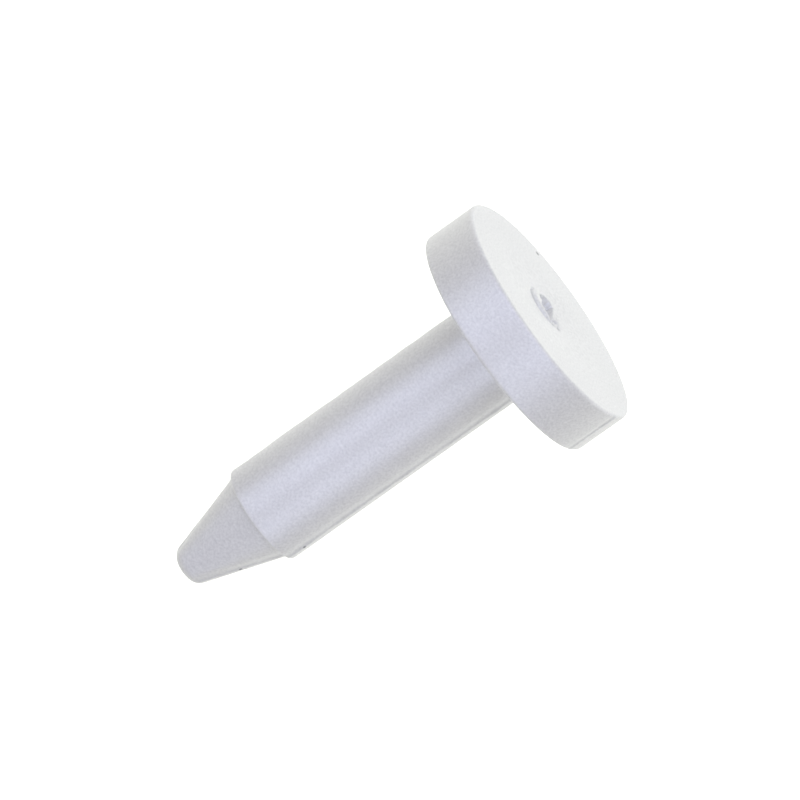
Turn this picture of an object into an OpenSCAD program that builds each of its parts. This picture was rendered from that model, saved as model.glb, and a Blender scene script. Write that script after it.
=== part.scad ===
// Push-in wall anchor: a flat round head, a plain shank and a tapered nose.
// It is one plastic moulding, drawn here as its three sections, which meet face to face.
// The origin is the middle of the head's wall-side face, +Y runs into the wall and
// +Z is up. A section's profile has its radius along X and its place on the axis along Y.

/* [Head] */
// Diameter of the head
head_d = 14.3; // [10:0.1:20]
// Thickness of the head
head_t = 3.3; // [2:0.1:6]
// Radius of the head's two rounded edges
head_edge_r = 0.2; // [0.1:0.05:0.8]

/* [Gate mark] */
// Diameter of the shallow dish that the mould's gate leaves in the outer face
gate_d = 2.3; // [1.5:0.1:3]
// Diameter of the dish's flat floor
gate_floor_d = 1.5; // [0.8:0.1:1.5]
// Depth of the dish
gate_depth = 0.45; // [0.2:0.05:0.8]
// Diameter of the broken-off stub on the floor of the dish
gate_stub_d = 0.6; // [0.3:0.1:0.7]
// Height of the stub
gate_stub_h = 0.2; // [0.1:0.05:0.2]

/* [Shank] */
// Diameter of the shank, which is that of the drilled hole
shank_d = 6.0; // [4:0.1:8]
// Length of the shank, from the head to the shoulder
shank_l = 16.8; // [8:0.1:30]
// Radius of the rounded edge at the shoulder
shoulder_edge_r = 0.15; // [0.05:0.05:0.2]

/* [Nose] */
// How far the nose steps in from the shank at the shoulder
nose_step = 0.25; // [0.2:0.05:0.5]
// Length of the nose
nose_l = 5.5; // [4:0.1:8]
// Diameter of the flat end of the nose
nose_flat_d = 0.9; // [0.3:0.1:1.2]
// Radius of the rounding between the flat end and the tapered side
nose_tip_r = 0.85; // [0.2:0.05:0.85]

/* [Hidden] */
$fn = 96;
plastic = [0.91, 0.91, 0.95];
over = 1;                               // how far a cutter runs past the edge that it cuts
foot_l = 0.5;                           // how deep the shank's foot is let into the head
nose_base_r = shank_d / 2 - nose_step;
tip_centre = [nose_flat_d / 2, nose_l - nose_tip_r];
// The taper is the line from the edge of the nose's base that just touches the tip's rounding
to_tip = tip_centre - [nose_base_r, 0];
taper_angle = atan(-to_tip.x / to_tip.y) - asin(nose_tip_r / norm(to_tip));
taper_end = tip_centre + nose_tip_r * [cos(taper_angle), sin(taper_angle)];

// Turns a profile about the axis and lays the solid along +Y
module turned() {
    rotate([-90, 0, 0]) rotate_extrude() children();
}

// What rounding an outer corner removes. The corner is at the origin, and side says
// which way the corner points along the axis: 1 into the wall, -1 out of it.
module corner_waste(r, side) {
    scale([1, side]) translate([-r, -r]) difference() {
        square(r + over);
        circle(r);
    }
}

// The shank's foot, tapered at 45 degrees. Let into the head, it leaves the head's
// wall-side face a ring round the shank, as it is on the whole moulding.
module foot_profile() {
    polygon([[0, -foot_l], [shank_d / 2 - foot_l, -foot_l], [shank_d / 2, 0], [0, 0]]);
}

module gate_dish() {
    difference() {
        union() {
            translate([0, -over]) square([gate_d / 2, over]);
            polygon([[0, 0], [gate_d / 2, 0], [gate_floor_d / 2, gate_depth], [0, gate_depth]]);
        }
        translate([0, gate_depth - gate_stub_h]) square([gate_stub_d / 2, gate_stub_h]);
    }
}

module head() {
    color(plastic) turned() difference() {
        translate([0, -head_t]) square([head_d / 2, head_t]);
        translate([head_d / 2, 0]) corner_waste(head_edge_r, 1);
        translate([head_d / 2, -head_t]) corner_waste(head_edge_r, -1);
        translate([0, -head_t]) gate_dish();
        foot_profile();
    }
}

module shank() {
    color(plastic) turned() difference() {
        union() {
            foot_profile();
            square([shank_d / 2, shank_l]);
        }
        translate([shank_d / 2, shank_l]) corner_waste(shoulder_edge_r, 1);
    }
}

module nose() {
    color(plastic) turned() translate([0, shank_l]) intersection() {
        union() {
            polygon([[0, 0], [nose_base_r, 0], taper_end, [tip_centre.x, nose_l], [0, nose_l]]);
            translate(tip_centre) circle(nose_tip_r);
        }
        square([nose_base_r, nose_l]);
    }
}

head();
shank();
nose();
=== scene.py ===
"""A white push-in wall anchor: its one moulding in close detail, on a plain pale studio floor.

Everything is in metres in the CAD frame: +Y runs along the axis into the wall, the head's outer face
looks towards -Y, and +Z is up. Angles round the axis are counted from +Z towards +X.
"""

import math

import bmesh
import bpy
from mathutils import Matrix, Vector, noise


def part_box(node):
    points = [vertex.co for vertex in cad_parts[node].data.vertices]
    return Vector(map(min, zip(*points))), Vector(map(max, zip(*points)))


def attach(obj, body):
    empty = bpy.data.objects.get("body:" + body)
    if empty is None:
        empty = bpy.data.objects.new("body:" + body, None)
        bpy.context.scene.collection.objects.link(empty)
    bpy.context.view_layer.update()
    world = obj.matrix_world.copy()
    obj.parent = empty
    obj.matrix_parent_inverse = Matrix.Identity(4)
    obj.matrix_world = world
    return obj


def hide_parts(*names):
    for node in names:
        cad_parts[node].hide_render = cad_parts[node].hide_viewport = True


MM = 0.001

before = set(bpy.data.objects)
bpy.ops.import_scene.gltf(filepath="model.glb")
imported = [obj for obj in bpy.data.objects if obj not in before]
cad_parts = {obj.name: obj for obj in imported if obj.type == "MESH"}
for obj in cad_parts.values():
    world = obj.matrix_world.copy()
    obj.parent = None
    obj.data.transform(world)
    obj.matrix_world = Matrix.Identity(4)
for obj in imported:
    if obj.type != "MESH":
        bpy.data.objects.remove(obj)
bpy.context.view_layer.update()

# ---- sizes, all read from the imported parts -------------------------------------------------

head_low, head_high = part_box("head")
shank_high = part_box("shank")[1]
nose_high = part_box("nose")[1]

HEAD_R = head_high.x
FACE_Y = head_low.y
SEAT_Y = head_high.y
SHANK_R = shank_high.x
SHOULDER_Y = shank_high.y
NOSE_R = nose_high.x
TIP_Y = nose_high.y

# ---- details of the moulding ---------------------------------------------------------------

HEAD_EDGE = 0.20 * MM            # rounded edges of the head
SHOULDER_EDGE = 0.15 * MM        # rounded edge at the end of the shank
ROOT_FILLET = 0.12 * MM          # fillet where the shank leaves the head
NOSE_FILLET = 0.06 * MM          # fillet where the nose leaves the shoulder
TIP_ROUND = 0.85 * MM            # rounding of the nose's end
TIP_FLAT_R = 0.45 * MM           # radius of the nose's flat end
SUNK = 0.30 * MM                 # how far one section's mesh reaches into the next
SINK_DEPTH = 0.20 * MM           # the outer face sinks this much in its middle, over the thick plastic,
SINK_R = 3.4 * MM                # and about a third as much at this radius

PARTING = math.radians(-77)      # direction of the plane where the mould's two halves meet
PARTING_OFF = 0.43 * MM          # how far above the axis that plane lies
SMALL_R = 1.4 * MM               # the parting line keeps its angle on rings smaller than this
DIP_DEPTH = 0.055 * MM           # the surface falls this far before the line, on the upper half,
DIP_START = -0.80 * MM           # from here
DIP_END = -0.15 * MM             # to here,
DIP_RECOVERED = 2.5 * MM         # and has risen again here, on the lower half
FLASH_H = 0.05 * MM              # height and half-width of the ridge of flash on the line
FLASH_W = 0.17 * MM
GRIME_AND_SHADE_AT = -0.06 * MM            # grime and painted shade darken the ridge's upper side, at the crease, in a band round here of this half-width and this strength
GRIME_AND_SHADE_W = 0.26 * MM              # of this half-width
GRIME_AND_SHADE = 0.36                     # and this strength
RAGGED = 0.6                     # how much the flash and its grime and painted shade vary along a line, and over what length
RAGGED_SIZE = 0.9 * MM           # and over what length
LINE_SEED = 3.7                  # one line varies by this seed, and the other by its opposite

# Dirt on the first parting line: its place along the axis, how far out it lies, and its own radius
SPECKS = (
    (15.60 * MM, 2.95 * MM, 0.14 * MM),
    (19.40 * MM, 1.93 * MM, 0.12 * MM),
)
FACE_SPECK = (3.0 * MM, -5.6 * MM, 0.16 * MM)   # dirt on the outer face: x, z and own radius

# ---- details of the gate, measured from its own middle -------------------------------------

GATE_X = 0.22 * MM               # the gate's middle lies slightly off the axis
COARSE_SIZE = 0.55 * MM          # the gate's raggedness is of two sizes, each with its seed
COARSE_SEED = 4.2
FINE_SIZE = 0.17 * MM
FINE_SEED = 9.1
TORN_START = 0.1 * MM            # it is torn towards -X, from here
TORN_FULL = 0.9 * MM             # to here, where it is torn in full

WITNESS_R = 1.35 * MM            # the witness line round the gate: its radius, half-width and depth
WITNESS_W = 0.07 * MM
WITNESS_DEEP = 0.09 * MM
WITNESS_WANDER = 0.03 * MM       # how far it wanders, and how much further on the torn side
WITNESS_TORN = 0.05 * MM
WITNESS_BROKEN = 0.85            # how much of it is lost in its breaks on the torn side,
BREAK_START = -0.35              # which open between these two levels of the fine raggedness
BREAK_FULL = 0.05
WITNESS_FAINT = 0.2              # how much of it is left on the lower side,
FAINT_Z = -0.7 * MM              # from here down
CLEAR_Z = 0.1 * MM               # and it is whole from here up
GATE_REACH = WITNESS_R + 6 * WITNESS_W   # nothing of the gate is left outside this radius
PIT = (-1.30 * MM, 0.42 * MM)    # a pit at the line's torn end
PIT_R = 0.14 * MM

CONE_RISE = 0.17 * MM            # plastic is drawn up in a cone between the witness line and the crater,
CONE_TORN = 0.35                 # which is this much lower on the torn side, and uneven there
CONE_UNEVEN = 0.05 * MM
CRATER_R = 1.12 * MM             # the crater torn in the cone: its radius, middle, depth and wall
CRATER_MIDDLE = (-0.24 * MM, -0.08 * MM)
CRATER_DEEP = 0.47 * MM
CRATER_WALL = 0.17 * MM
CRATER_LIP = 0.02 * MM
EDGE_COARSE = 0.05 * MM          # how ragged its edge is
EDGE_FINE = 0.03 * MM
FLOOR_COARSE = 0.16 * MM         # how ragged its floor is
FLOOR_FINE = 0.13 * MM
TONGUE = 0.30 * MM               # a tongue reaches into it from this way, counted from +X towards +Z
TONGUE_WAY = math.radians(35)
TONGUE_SPREAD = math.radians(24)
STUB_FILL = 0.92                 # a stub fills its torn side, behind a slanted front that starts
STUB_START = 0.38 * MM           # and ends this far towards -X
STUB_END = 0.62 * MM
STUB_SLANT = 0.35
CREVICE_OPEN = 0.85              # a crevice is open in the stub, this far in from the crater's edge,
CREVICE_IN = 0.20 * MM
CREVICE_W = 0.13 * MM            # of this half-width,
CREVICE_Z = 0.3 * MM             # opening from the middle up to here, and open above
WITNESS_GRIME_AND_SHADE = 0.55             # how much grime and painted shade darken the witness line and the crater, where the pit is 1
CRATER_GRIME_AND_SHADE = 0.4

# ---- fineness of the meshes ----------------------------------------------------------------

STEP = 0.25 * MM                 # longest stretch between two rings
HIDDEN_STEP = 1.0 * MM           # the same on the ends that lie inside a neighbour
TIP_STEP = 0.1 * MM              # on the nose's flat end
GATE_STEP = 0.03 * MM            # and over the gate,
GATE_FIELD_R = 1.9 * MM          # out to here
HEAD_GAP = 0.05 * MM             # a flat face has a ring this far in from its rounded edge, which keeps
SHOULDER_GAP = 0.02 * MM         # the shading flat
TIP_GAP = 0.03 * MM
ROUND_STEPS = 7                  # steps in a rounded edge
HALF_STEPS = 84                  # even steps round each half of the mould, between close ones at the lines
CLOSE_STEPS = [                  # how far those close ones lie from a line, round a ring
    step * MM for step in (0.0, 0.025, 0.05, 0.08, 0.11, 0.145, 0.18, 0.22, 0.28, 0.36, 0.46, 0.58, 0.70)
]
CLOSE_ANGLE = 0.45               # the widest angle that they take up beside a line, in radians
SAME = 1e-8                      # points nearer to each other than this are one point
HAIR = 1e-7                      # allowance for rounding in a point's place


def arc(centre_r, centre_y, radius, start_deg, end_deg):
    """Profile points (radius, along, flank) on a round corner. 0 degrees points outwards, 90 towards +Y.

    A point's flank is 1 where the surface faces away from the axis, and 0 where it faces along it.
    """
    points = []
    for i in range(ROUND_STEPS + 1):
        a = math.radians(start_deg + (end_deg - start_deg) * i / ROUND_STEPS)
        points.append((centre_r + radius * math.cos(a), centre_y + radius * math.sin(a), abs(math.cos(a))))
    return points


def line(start, end, flank, step=STEP):
    """Profile points evenly spaced from start to end, both included."""
    length = math.dist(start, end)
    count = max(1, math.ceil(length / step))
    return [
        (start[0] + (end[0] - start[0]) * i / count, start[1] + (end[1] - start[1]) * i / count, flank)
        for i in range(count + 1)
    ]


def without_repeats(profile):
    """The profile without the points where one stretch starts on the end of another."""
    kept = [profile[0]]
    for point in profile[1:]:
        if math.dist(point[:2], kept[-1][:2]) > SAME:
            kept.append(point)
    return kept


def smooth(value, low, high):
    """0 below low, 1 above high, and a smooth rise between."""
    t = min(max((value - low) / (high - low), 0.0), 1.0)
    return t * t * (3 - 2 * t)


def bump_at(distance, width):
    """A round bump: 1 at no distance, and about a third at one width."""
    return math.exp(-((distance / width) ** 2))


def ring_places(radius):
    """Angles round a ring, each with its distance past the nearest parting line, minus on the upper half.

    The steps are even, except for close ones beside the two lines. Every ring has the same number.
    """
    lift = math.asin(PARTING_OFF / max(radius, SMALL_R))
    first, second = PARTING + lift, PARTING + math.pi - lift
    places = []
    for start, end, half in ((first, second, -1), (second, first + 2 * math.pi, 1)):
        close = min(1 / radius, CLOSE_ANGLE / CLOSE_STEPS[-1])
        offsets = [step * close for step in CLOSE_STEPS]
        inner = end - start - 2 * offsets[-1]
        evens = [offsets[-1] + inner * i / HALF_STEPS for i in range(1, HALF_STEPS)]
        far_side = [end - start - offset for offset in reversed(offsets[1:])]
        for offset in offsets + evens + far_side:
            nearest = min(offset, end - start - offset)
            places.append((start + offset, half * nearest * radius))
    return places


def moulded(radius, along, phi, past_line, flank):
    """The point of the moulding at that radius, place along the axis and angle, and its grime and painted
    shade.
    """
    seed = math.copysign(LINE_SEED, math.sin(phi))
    ragged = 1 + RAGGED * noise.noise(Vector((along / RAGGED_SIZE, seed, 0.0)))
    flash = FLASH_H * ragged * bump_at(past_line, FLASH_W)
    dip = DIP_DEPTH * smooth(past_line, DIP_START, DIP_END) * (1 - smooth(past_line, 0.0, DIP_RECOVERED))
    r = radius - (dip - flash) * flank
    # grime and painted shade: the colour is darkened in a band at the crease on the ridge's upper side, where
    # shade falls
    grime_and_shade = GRIME_AND_SHADE * ragged * bump_at(past_line - GRIME_AND_SHADE_AT, GRIME_AND_SHADE_W)
    return Vector((r * math.sin(phi), along, r * math.cos(phi))), grime_and_shade * flank


def turned(name, profile, relief=None):
    """A closed solid turned from a profile that starts and ends on the axis, with the mould's marks on it."""
    profile = without_repeats(profile)
    mesh = bpy.data.meshes.new(name)
    bm = bmesh.new()
    marks = []
    rings = []
    for radius, along, flank in profile[1:-1]:
        ring = []
        for phi, past_line in ring_places(radius):
            point, mark = moulded(radius, along, phi, past_line, flank)
            if relief:
                point, grime_and_shade = relief(point)
                mark = max(mark, grime_and_shade)
            ring.append(bm.verts.new(point))
            marks.append(mark)
        rings.append(ring)
    for end, ring, order in ((profile[0], rings[0], 1), (profile[-1], rings[-1], -1)):
        point, mark = Vector((0.0, end[1], 0.0)), 0.0
        if relief:
            point, mark = relief(point)
        pole = bm.verts.new(point)
        marks.append(mark)
        for i in range(len(ring)):
            bm.faces.new([pole, ring[i], ring[i - 1]][::order])
    for below, above in zip(rings, rings[1:]):
        for i in range(len(below)):
            bm.faces.new([below[i - 1], below[i], above[i], above[i - 1]])
    bmesh.ops.recalc_face_normals(bm, faces=bm.faces)
    bm.to_mesh(mesh)
    bm.free()
    mesh.shade_smooth()
    # this attribute darkens the plastic's colour in creases and recesses: partly grime, partly painted shade
    mesh.attributes.new("grime_and_shade", "FLOAT", "POINT").data.foreach_set("value", marks)
    piece = bpy.data.objects.new(name, mesh)
    bpy.context.scene.collection.objects.link(piece)
    return piece


def raggedness(x, z, size, seed):
    """A smooth random field of the outer face, about -1 to 1, with features of that size."""
    return noise.noise(Vector((x / size, z / size, seed)))


def witness_line(past_line, z, torn, fine):
    """How much of the witness line there is: it is broken on the torn side, and faint on the lower side."""
    broken = WITNESS_BROKEN * torn * smooth(fine, BREAK_START, BREAK_FULL)
    clear = WITNESS_FAINT + (1 - WITNESS_FAINT) * smooth(z, FAINT_Z, CLEAR_Z)
    return bump_at(past_line, WITNESS_W) * (1 - broken) * clear


def crater(gx, z, edge_r):
    """How much of the crater's full depth there is: 1 on its floor, and little on the stub at one side."""
    tongue = bump_at(math.atan2(z, gx) - TONGUE_WAY, TONGUE_SPREAD)
    edge_r -= TONGUE * tongue
    bowl = 1 - smooth(math.dist((gx, z), CRATER_MIDDLE), edge_r - CRATER_WALL, edge_r + CRATER_LIP)
    stub = smooth(-gx - STUB_SLANT * z, STUB_START, STUB_END)
    crevice = bump_at(math.hypot(gx, z) - edge_r + CREVICE_IN, CREVICE_W) * smooth(z, 0.0, CREVICE_Z)
    return bowl * (1 - STUB_FILL * stub * (1 - CREVICE_OPEN * crevice))


def gate_relief(x, z):
    """How deep the outer face lies at x, z, and how much grime and painted shade darken it: a broad sink, and
    the torn gate in it.
    """
    depth = SINK_DEPTH * bump_at(math.hypot(x, z), SINK_R)
    gx = x - GATE_X
    r = math.hypot(gx, z)
    if r > GATE_REACH:
        return depth, 0.0
    coarse = raggedness(gx, z, COARSE_SIZE, COARSE_SEED)
    fine = raggedness(gx, z, FINE_SIZE, FINE_SEED)
    torn = smooth(-gx, TORN_START, TORN_FULL)
    line_r = WITNESS_R + WITNESS_WANDER * coarse + WITNESS_TORN * torn * fine
    edge_r = CRATER_R + EDGE_COARSE * coarse + EDGE_FINE * fine

    witness = witness_line(r - line_r, z, torn, fine)
    pit = bump_at(math.dist((gx, z), PIT), PIT_R)
    cone = min(max((line_r - r) / (line_r - edge_r), 0.0), 1.0)
    bowl = crater(gx, z, edge_r)

    depth += WITNESS_DEEP * max(witness, pit)
    depth += (CONE_UNEVEN * fine * torn - CONE_RISE * (1 - CONE_TORN * torn)) * cone
    depth += (CRATER_DEEP + FLOOR_COARSE * coarse + FLOOR_FINE * fine) * bowl
    # the witness line, the pit and the crater are darkened with grime and painted shade, as recesses where
    # shade falls
    return depth, min(WITNESS_GRIME_AND_SHADE * witness + pit + CRATER_GRIME_AND_SHADE * bowl, 1.0)


def face_relief(point):
    """The place that a point of the head's outer face sinks to, and its grime and painted shade."""
    on_face = 1 - smooth(point.y, FACE_Y + HAIR, FACE_Y + HEAD_EDGE)
    depth, grime_and_shade = gate_relief(point.x, point.z)
    return point + Vector((0.0, depth * on_face, 0.0)), grime_and_shade * on_face


def make_head():
    flat_r = HEAD_R - HEAD_EDGE
    profile = line((0, FACE_Y), (GATE_FIELD_R, FACE_Y), 0.0, GATE_STEP)
    profile += line((GATE_FIELD_R, FACE_Y), (flat_r - HEAD_GAP, FACE_Y), 0.0)
    profile += arc(flat_r, FACE_Y + HEAD_EDGE, HEAD_EDGE, -90, 0)
    profile += line((HEAD_R, FACE_Y + HEAD_EDGE), (HEAD_R, SEAT_Y - HEAD_EDGE), 1.0)
    profile += arc(flat_r, SEAT_Y - HEAD_EDGE, HEAD_EDGE, 0, 90)
    profile += line((flat_r - HEAD_GAP, SEAT_Y), (0, SEAT_Y), 0.0)
    return turned("head_moulding", profile, face_relief)


def make_shank():
    start = SEAT_Y - SUNK
    root_r = SHANK_R + ROOT_FILLET
    flat_r = SHANK_R - SHOULDER_EDGE
    profile = line((0, start), (root_r, start), 0.0, HIDDEN_STEP)
    profile += line((root_r, start), (root_r, SEAT_Y), 0.0)
    profile += arc(root_r, SEAT_Y + ROOT_FILLET, ROOT_FILLET, 270, 180)
    profile += line((SHANK_R, SEAT_Y + ROOT_FILLET), (SHANK_R, SHOULDER_Y - SHOULDER_EDGE), 1.0)
    profile += arc(flat_r, SHOULDER_Y - SHOULDER_EDGE, SHOULDER_EDGE, 0, 90)
    profile += line((flat_r - SHOULDER_GAP, SHOULDER_Y), (0, SHOULDER_Y), 0.0)
    return turned("shank_moulding", profile)


def make_nose():
    """The nose, whose tapered side just touches the rounding of its end."""
    start = SHOULDER_Y - SUNK
    root_r = NOSE_R + NOSE_FILLET
    tip_y = TIP_Y - TIP_ROUND
    across = NOSE_R - TIP_FLAT_R
    along = tip_y - SHOULDER_Y
    taper = math.atan2(across, along) - math.asin(TIP_ROUND / math.hypot(across, along))
    taper_deg = math.degrees(taper)
    tip = arc(TIP_FLAT_R, tip_y, TIP_ROUND, taper_deg, 90)
    side_r = NOSE_R - NOSE_FILLET * math.tan(taper)
    profile = line((0, start), (root_r, start), 0.0, HIDDEN_STEP)
    profile += line((root_r, start), (root_r, SHOULDER_Y), 0.0)
    profile += arc(side_r + NOSE_FILLET, SHOULDER_Y + NOSE_FILLET, NOSE_FILLET, 270, 180 + taper_deg)
    profile += line(profile[-1][:2], tip[0][:2], 1.0)
    profile += tip
    profile += line((TIP_FLAT_R - TIP_GAP, TIP_Y), (0, TIP_Y), 0.0, TIP_STEP)
    return turned("nose_moulding", profile)


# ---- material ------------------------------------------------------------------------------


MOTTLE_DULL = (0.79, 0.79, 0.80, 1)      # the plastic's mottling and grain run between two tones each
MOTTLE_CLEAR = (0.82, 0.82, 0.835, 1)
GRAIN_DULL = (0.56, 0.56, 0.57, 1)
GRAIN_CLEAR = (1.0, 1.0, 1.0, 1)
GRAIN_SHARE = 0.85
# grime and painted shade darken the plastic towards this grey in its creases, the gate's grooves and its
# crater
GRIME_AND_SHADE_GREY = (0.42, 0.42, 0.43, 1)
GRIME_AND_SHADE_STRENGTH = 0.5
SPECK_GREY = (0.10, 0.10, 0.11, 1)
MOTTLE_SCALE = 450.0                     # about how many patches, grains and drag lines lie in a metre
GRAIN_SCALE = 7000.0
DRAG_SCALE = 5000.0
DRAG_STRETCH = (1.0, 0.03, 1.0)          # drag lines are long along the axis
GRAIN_HEIGHT = 0.01 * MM
SMOOTH_ROUGHNESS = 0.34                  # how blurred its shine is, and what mottling and the grime-and-shade mark add to that
MOTTLE_ROUGHNESS = 0.12
GRIME_AND_SHADE_ROUGHNESS = 0.5


class Nodes:
    """Short calls for building a node tree."""

    def __init__(self, tree):
        self.tree = tree

    def put(self, socket, value):
        """Links the socket to another node's output, or gives it a plain value."""
        if isinstance(value, bpy.types.NodeSocket):
            self.tree.links.new(value, socket)
        else:
            socket.default_value = value

    def add(self, kind, inputs=None, **settings):
        node = self.tree.nodes.new(kind)
        for name, value in settings.items():
            setattr(node, name, value)
        for name, value in (inputs or {}).items():
            self.put(node.inputs[name], value)
        return node

    def maths(self, operation, a, b):
        return self.add("ShaderNodeMath", {0: a, 1: b}, operation=operation).outputs[0]

    def mix(self, factor, a, b):
        """A mix of two colours, whose sockets are the Mix node's inputs 6 and 7 and its output 2."""
        return self.add("ShaderNodeMix", {0: factor, 6: a, 7: b}, data_type="RGBA").outputs[2]

    def noise(self, vector, scale, detail=2.0, roughness=0.5):
        inputs = {"Vector": vector, "Scale": scale, "Detail": detail, "Roughness": roughness}
        return self.add("ShaderNodeTexNoise", inputs).outputs["Fac"]


def new_material(name):
    material = bpy.data.materials.new(name)
    material.use_nodes = True
    material.node_tree.nodes.clear()
    nodes = Nodes(material.node_tree)
    shader = nodes.add("ShaderNodeBsdfPrincipled")
    nodes.add("ShaderNodeOutputMaterial", {"Surface": shader.outputs[0]})
    return material, nodes, shader


def speck_places():
    """The middle and the radius of each speck of dirt."""
    places = [((FACE_SPECK[0], FACE_Y, FACE_SPECK[1]), FACE_SPECK[2])]
    for along, ring_r, spot_r in SPECKS:
        phi = ring_places(ring_r)[0][0]
        places.append(((ring_r * math.sin(phi), along, ring_r * math.cos(phi)), spot_r))
    return places


def plastic(name, drag_lines):
    """Satin white moulded plastic: faint mottling, fine spark-eroded grain, drag lines along the axis, specks
    of dirt, and grime with painted shade in its creases, grooves and crater.

    drag_lines says how high those lines stand, next to the grain.
    """
    material, nodes, shader = new_material(name)
    place = nodes.add("ShaderNodeTexCoord").outputs["Object"]
    mottle = nodes.noise(place, MOTTLE_SCALE, 3.0)
    grain = nodes.noise(place, GRAIN_SCALE, 2.0, 0.6)
    along = nodes.add("ShaderNodeMapping", {"Vector": place, "Scale": DRAG_STRETCH}).outputs[0]
    drag = nodes.noise(along, DRAG_SCALE)
    grime_and_shade = nodes.add("ShaderNodeAttribute", attribute_name="grime_and_shade").outputs["Fac"]

    colour = nodes.mix(mottle, MOTTLE_DULL, MOTTLE_CLEAR)
    colour = nodes.mix(GRAIN_SHARE, colour, nodes.mix(grain, GRAIN_DULL, GRAIN_CLEAR))
    # painted shade, with grime: the colour is darkened towards grey in the creases, grooves and crater
    colour = nodes.mix(nodes.maths("MULTIPLY", grime_and_shade, GRIME_AND_SHADE_STRENGTH), colour, GRIME_AND_SHADE_GREY)
    for spot, spot_r in speck_places():
        offset = nodes.add("ShaderNodeVectorMath", {0: place, 1: spot}, operation="DISTANCE").outputs["Value"]
        wavy = nodes.maths("MULTIPLY", offset, nodes.maths("ADD", grain, 0.5))
        edge = {"Value": wavy, "From Min": spot_r, "From Max": spot_r * 0.5}
        inside = nodes.add("ShaderNodeMapRange", edge).outputs[0]
        colour = nodes.mix(inside, colour, SPECK_GREY)

    height = nodes.maths("ADD", grain, nodes.maths("MULTIPLY", drag, drag_lines))
    bump = nodes.add("ShaderNodeBump", {"Height": height, "Strength": 0.35, "Distance": GRAIN_HEIGHT})
    rough = nodes.maths("ADD", nodes.maths("MULTIPLY", mottle, MOTTLE_ROUGHNESS), SMOOTH_ROUGHNESS)
    rough = nodes.maths("ADD", rough, nodes.maths("MULTIPLY", grime_and_shade, GRIME_AND_SHADE_ROUGHNESS))
    nodes.put(shader.inputs["Base Color"], colour)
    nodes.put(shader.inputs["Roughness"], rough)
    nodes.put(shader.inputs["Normal"], bump.outputs[0])
    shader.inputs["IOR"].default_value = 1.5
    shader.inputs["Subsurface Weight"].default_value = 0.2
    shader.inputs["Subsurface Radius"].default_value = (1.0, 1.0, 1.0)
    shader.inputs["Subsurface Scale"].default_value = 0.35 * MM
    return material


def make_anchor():
    turned_plastic = plastic("white_plastic_drawn", drag_lines=1.2)
    face_plastic = plastic("white_plastic_flat", drag_lines=0.0)
    for build, node, material in (
        (make_head, "head", face_plastic),
        (make_shank, "shank", turned_plastic),
        (make_nose, "nose", turned_plastic),
    ):
        piece = build()
        piece.data.materials.append(material)
        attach(piece, "root")
        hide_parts(node)


# ---- studio --------------------------------------------------------------------------------

VIEW_TILT = math.radians(13.6)     # how far the camera leans towards the head's outer face
VIEW_ROLL = math.radians(215.4)    # direction of the anchor in the picture, anticlockwise from the right
VIEW_DISTANCE = 0.5362
VIEW_LENS = 437.0
AIM_ALONG = 9.90 * MM              # the camera's aim, along the axis from the outer face
AIM_ASIDE = 0.785 * MM             # and across it

BACK = Vector((0.0, -math.sin(VIEW_TILT), math.cos(VIEW_TILT)))
ALONG = Vector((0.0, math.cos(VIEW_TILT), math.sin(VIEW_TILT)))
ACROSS = BACK.cross(ALONG)
SOFTBOX_DISTANCE = 0.4
STAGE_R = 1.2
FLOOR_TINT = (0.985, 1.0, 0.93)
FLOOR_GLOW = 1.45                  # of the floor that is seen and mirrored
FILL_GLOW = 0.78                   # of the one that lights the plastic


def make_camera():
    right = math.cos(VIEW_ROLL) * ALONG - math.sin(VIEW_ROLL) * ACROSS
    up = math.sin(VIEW_ROLL) * ALONG + math.cos(VIEW_ROLL) * ACROSS
    aim = Vector((0.0, FACE_Y + AIM_ALONG, 0.0)) - ACROSS * AIM_ASIDE
    data = bpy.data.cameras.new("camera")
    data.lens = VIEW_LENS
    data.sensor_width = 36.0
    data.clip_start = 0.01
    data.clip_end = 20.0
    camera = bpy.data.objects.new("camera", data)
    turn = Matrix((right, up, BACK)).transposed().to_4x4()
    camera.matrix_world = Matrix.Translation(aim + BACK * VIEW_DISTANCE) @ turn
    bpy.context.scene.collection.objects.link(camera)
    bpy.context.scene.camera = camera


def glowing(name, mesh, colour, strength):
    """A stage surface that shines by itself, as an overexposed white sweep does."""
    surface = bpy.data.objects.new(name, mesh)
    bpy.context.scene.collection.objects.link(surface)
    material, nodes, shader = new_material(name + "_paper")
    shader.inputs["Base Color"].default_value = (0.25, 0.25, 0.25, 1)
    shader.inputs["Roughness"].default_value = 0.9
    shader.inputs["Specular IOR Level"].default_value = 0.0
    shader.inputs["Emission Color"].default_value = (*colour, 1)
    shader.inputs["Emission Strength"].default_value = strength
    mesh.materials.append(material)
    return surface


def level_square(name, height):
    mesh = bpy.data.meshes.new(name)
    corners = [(-1, -1), (1, -1), (1, 1), (-1, 1)]
    mesh.from_pydata([(x * STAGE_R, y * STAGE_R, height) for x, y in corners], [], [(0, 1, 2, 3)])
    return mesh


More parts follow.
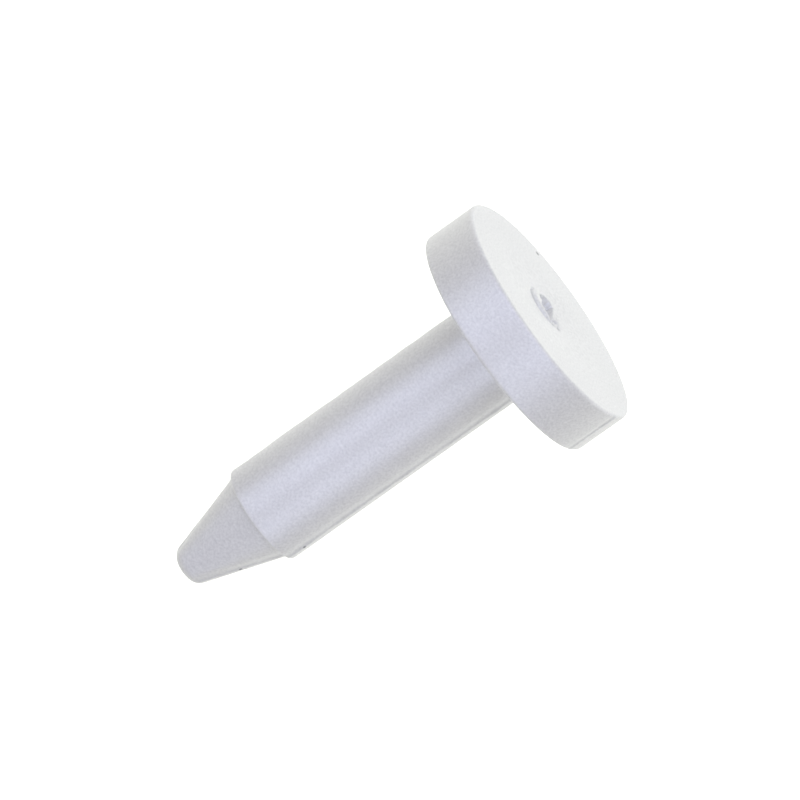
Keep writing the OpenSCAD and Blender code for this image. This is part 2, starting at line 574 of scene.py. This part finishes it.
def make_stage():
    """Two floors and a backdrop.

    The floor that the head rests on is seen and mirrored, and a softer one just under it lights the
    plastic. The backdrop is a dome that is seen and does nothing else.
    """
    floor = glowing("floor", level_square("floor", -HEAD_R), FLOOR_TINT, FLOOR_GLOW)
    floor.visible_diffuse = False
    fill = glowing("fill_floor", level_square("fill_floor", -HEAD_R - MM), FLOOR_TINT, FILL_GLOW)
    fill.visible_camera = False
    fill.visible_glossy = False
    dome = bpy.data.meshes.new("backdrop")
    bm = bmesh.new()
    bmesh.ops.create_uvsphere(bm, u_segments=48, v_segments=24, radius=STAGE_R)
    bm.to_mesh(dome)
    bm.free()
    backdrop = glowing("backdrop", dome, (1.0, 1.0, 1.0), 1.0)
    for ray in ("diffuse", "glossy", "transmission", "shadow"):
        setattr(backdrop, "visible_" + ray, False)


def softbox(name, lean_deg, swing_deg, size, radiance, gloss_only=False):
    """A soft panel over the anchor, which faces it from SOFTBOX_DISTANCE away.

    It is leaned from overhead towards the nose, or towards the head's outer face if lean_deg is negative,
    and swung round the axis towards +X. Its size is in metres, and its radiance is given for red, green
    and blue. A gloss_only panel shows in the plastic's shine alone.
    """
    lean, swing = math.radians(lean_deg), math.radians(swing_deg)
    way = Vector((math.cos(lean) * math.sin(swing), math.sin(lean), math.cos(lean) * math.cos(swing)))
    data = bpy.data.lights.new(name, "AREA")
    data.shape = "RECTANGLE"
    data.size, data.size_y = size
    peak = max(radiance)
    data.color = [value / peak for value in radiance]
    data.energy = peak * math.pi * size[0] * size[1]
    lamp = bpy.data.objects.new(name, data)
    turn = way.to_track_quat("Z", "Y").to_matrix().to_4x4()
    lamp.matrix_world = Matrix.Translation(way * SOFTBOX_DISTANCE) @ turn
    lamp.visible_camera = False
    lamp.visible_diffuse = not gloss_only
    bpy.context.scene.collection.objects.link(lamp)


def make_lights():
    world = bpy.data.worlds.new("studio")
    world.use_nodes = True
    background = world.node_tree.nodes["Background"]
    background.inputs["Color"].default_value = (1.0, 0.98, 0.99, 1)
    background.inputs["Strength"].default_value = 0.485
    bpy.context.scene.world = world
    tilt_deg = math.degrees(VIEW_TILT)
    softbox("over_head", -47.0, 0.0, (0.5, 0.35), (0.80, 0.835, 1.02))
    softbox("highlight", -20.0, 0.0, (0.94, 0.74), (2.05, 2.2, 3.1), gloss_only=True)
    softbox("nose_fill", 60.0, 0.0, (1.6, 0.34), (1.8, 1.9, 2.5), gloss_only=True)
    softbox("streak", tilt_deg, 36.0, (0.156, 0.40), (4.2, 4.6, 6.2), gloss_only=True)
    softbox("faint_streak", tilt_deg, -34.0, (0.156, 0.40), (2.5, 2.75, 3.6), gloss_only=True)


make_camera()
make_anchor()
make_stage()
make_lights()
bpy.context.scene.view_settings.view_transform = "Standard"
